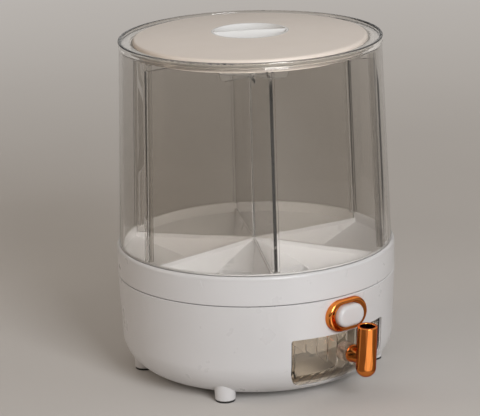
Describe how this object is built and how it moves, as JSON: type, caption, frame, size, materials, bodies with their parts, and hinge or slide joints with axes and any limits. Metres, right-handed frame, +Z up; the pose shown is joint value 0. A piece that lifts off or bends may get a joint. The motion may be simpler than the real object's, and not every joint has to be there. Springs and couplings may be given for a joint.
{
  "type": "rotating grain dispenser",
  "caption": "Rotating grain dispenser: a clear divided drum with a flush lid turns on a white footed base; a push button opens its gate into a clear pull-out drawer.",
  "frame": {"origin": "on the floor, under the middle of the object's box; the drum's axis stands 20.3 mm behind it", "axes": "+Z up along the drum's axis, -Y out of the outlet drawer, +X to the right as seen from in front of the outlet"},
  "size_m": [0.2764, 0.3169, 0.3425],
  "materials": {
    "white_abs": "satin moulded",
    "lid_abs": "fine satin texture",
    "inner_abs": "moulded",
    "clear_plastic": "polished, lightly smoked",
    "drawer_plastic": "polished, lightly smoked",
    "copper_plating": "polished copper-coloured plating",
    "black_rubber": "matt",
    "steel": "zinc plated",
    "acetal": "moulded",
    "silicone": "translucent matt"
  },
  "bodies": {
    "base": {"base_shell": "white_abs", "base_deck": "inner_abs", "deck_screws": "steel", "glide_ring": "acetal", "spindle": "steel", "spindle_washer": "steel", "spindle_nut": "steel", "drop_chute": "inner_abs", "chute_screws": "steel", "drawer_housing": "inner_abs", "housing_screws": "steel", "button_bezel": "copper_plating", "foot_screws": "steel", "return_spring": "steel", "foot_front_right": "white_abs", "foot_front_left": "white_abs", "foot_rear_right": "white_abs", "foot_rear_left": "white_abs", "foot_pad_front_right": "black_rubber", "foot_pad_front_left": "black_rubber", "foot_pad_rear_right": "black_rubber", "foot_pad_rear_left": "black_rubber"},
    "drum": {"hopper": "white_abs", "hub_bush": "acetal", "drum_wall": "clear_plastic", "centre_post": "clear_plastic", "divider_1": "clear_plastic", "divider_2": "clear_plastic", "divider_3": "clear_plastic", "divider_4": "clear_plastic", "divider_5": "clear_plastic", "divider_6": "clear_plastic"},
    "lid": {"lid_panel": "lid_abs", "grip_bowl": "white_abs", "lid_seal": "silicone"},
    "drawer": {"drawer_tray": "drawer_plastic", "handle_boss": "drawer_plastic", "handle_neck": "copper_plating", "handle_barrel": "copper_plating", "handle_screw": "steel"},
    "button": {"button_cap": "white_abs", "gate_plate": "inner_abs", "gate_screw": "steel"}
  },
  "joints": [
    {"name": "drum_turn", "type": "hinge", "parent": "base", "child": "drum", "pos_m": [0, 0.0203, 0.102], "axis": [0, 0, 1], "continuous": true},
    {"name": "lid_lift", "type": "slide", "parent": "drum", "child": "lid", "axis": [0, 0, 1], "range_m": [0, 0.06]},
    {"name": "drawer_pull", "type": "slide", "parent": "base", "child": "drawer", "axis": [0, -1, 0], "range_m": [0, 0.07]},
    {"name": "button_press", "type": "slide", "parent": "base", "child": "button", "axis": [0, 1, 0], "range_m": [0, 0.011], "stiffness_N_per_m": 250, "springref_m": -0.01, "deforming": ["return_spring"]}
  ]
}
